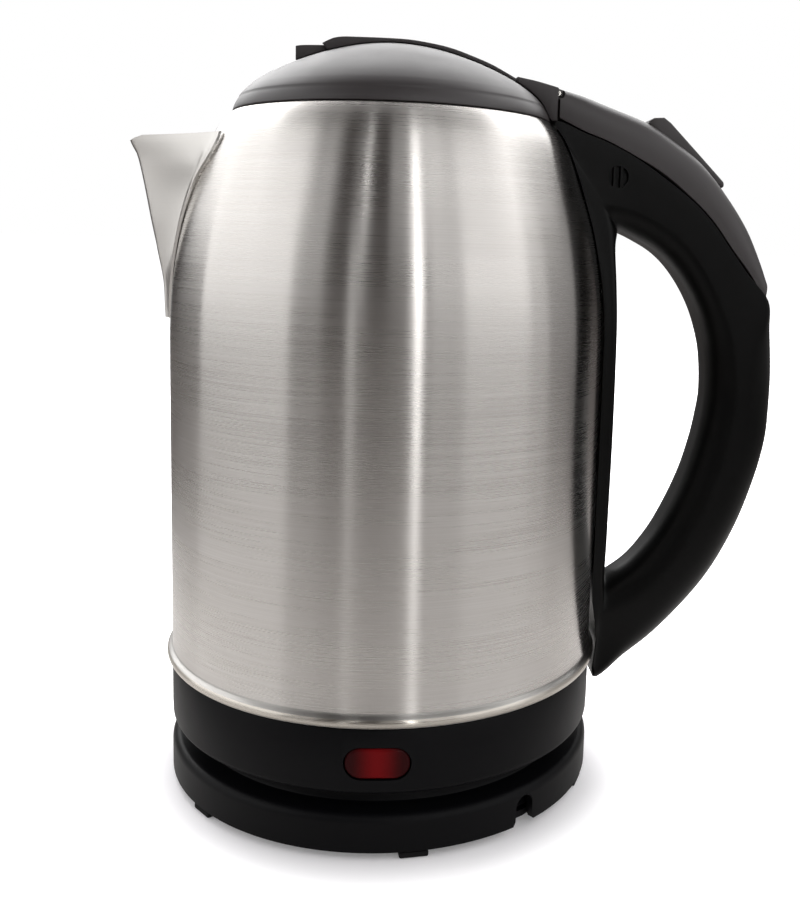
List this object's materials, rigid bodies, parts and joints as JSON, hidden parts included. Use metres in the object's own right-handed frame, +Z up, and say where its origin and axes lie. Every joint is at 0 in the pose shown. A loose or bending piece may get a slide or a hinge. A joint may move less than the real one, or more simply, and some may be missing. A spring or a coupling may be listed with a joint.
{
  "type": "electric kettle",
  "caption": "Cordless electric kettle: brushed steel jug with V spout, black domed lid with latch, hooped handle with rocker switch, lamp window and round power base.",
  "frame": {"origin": "on the jug's axis, on the flat underside of the base's hub, level with the feet", "axes": "+Z up along the jug's axis; +X towards the handle, so the spout points to -X; the lamp window and cord notch are on the -Y side"},
  "size_m": [0.2072, 0.14, 0.2325],
  "materials": {
    "black_plastic": "satin",
    "lid_plastic": "satin",
    "foot_rubber": "matt",
    "brushed_steel": "horizontal fine brushing",
    "bright_steel": "bright",
    "brass": "plain",
    "aluminium": "plain",
    "red_lens": "glossy, see-through red",
    "cream_plastic": "matt",
    "lamp_glass": "clear",
    "silicone": "matt"
  },
  "bodies": {
    "base": {"base_housing": "black_plastic", "base_cover": "black_plastic", "foot_1": "foot_rubber", "foot_2": "foot_rubber", "foot_3": "foot_rubber", "foot_4": "foot_rubber", "foot_5": "foot_rubber", "foot_6": "foot_rubber", "base_connector": "black_plastic", "base_contact_ring": "brass", "base_centre_pin": "brass", "base_screw_1": "bright_steel", "base_screw_2": "bright_steel", "base_screw_3": "bright_steel", "cord_inlet": "black_plastic"},
    "socket": {"kettle_socket": "black_plastic"},
    "kettle": {"skirt": "black_plastic", "lamp_lens": "red_lens", "lamp_bulb": "lamp_glass", "thermostat_unit": "cream_plastic", "heating_element": "bright_steel", "heat_spreader": "aluminium", "heater_plate": "brushed_steel", "jug_wall": "brushed_steel", "spout": "brushed_steel", "mouth_collar": "black_plastic", "handle_body": "black_plastic", "handle_cover": "black_plastic", "handle_screw": "bright_steel", "steam_switch": "cream_plastic", "rocker_pin": "bright_steel", "hinge_pin": "bright_steel", "skirt_screw_1": "bright_steel", "skirt_screw_2": "bright_steel", "skirt_screw_3": "bright_steel"},
    "rocker": {"rocker_switch": "black_plastic"},
    "lid": {"lid_dome": "lid_plastic", "lid_strap": "lid_plastic", "hinge_knuckle": "lid_plastic", "lid_inner_plate": "brushed_steel", "lid_seal": "silicone", "lid_screw_1": "bright_steel", "lid_screw_2": "bright_steel"},
    "latch": {"latch_button": "lid_plastic", "latch_bolt": "black_plastic"}
  },
  "joints": [
    {"name": "lift", "type": "slide", "parent": "base", "child": "socket", "axis": [0, 0, 1], "range_m": [0, 0.1]},
    {"name": "swivel", "type": "hinge", "parent": "socket", "child": "kettle", "pos_m": [0, 0, 0.02], "axis": [0, 0, 1], "continuous": true},
    {"name": "lid_hinge", "type": "hinge", "parent": "kettle", "child": "lid", "pos_m": [0.0507, 0, 0.2177], "axis": [0, 1, 0], "range_deg": [0, 65]},
    {"name": "latch_slide", "type": "slide", "parent": "lid", "child": "latch", "axis": [0.944, 0, 0.33], "range_m": [0, 0.0035], "stiffness_N_per_m": 300, "springref_m": -0.002},
    {"name": "rocker_tilt", "type": "hinge", "parent": "kettle", "child": "rocker", "pos_m": [0.09257, 0, 0.20007], "axis": [0, -1, 0], "range_deg": [0, 8]}
  ]
}
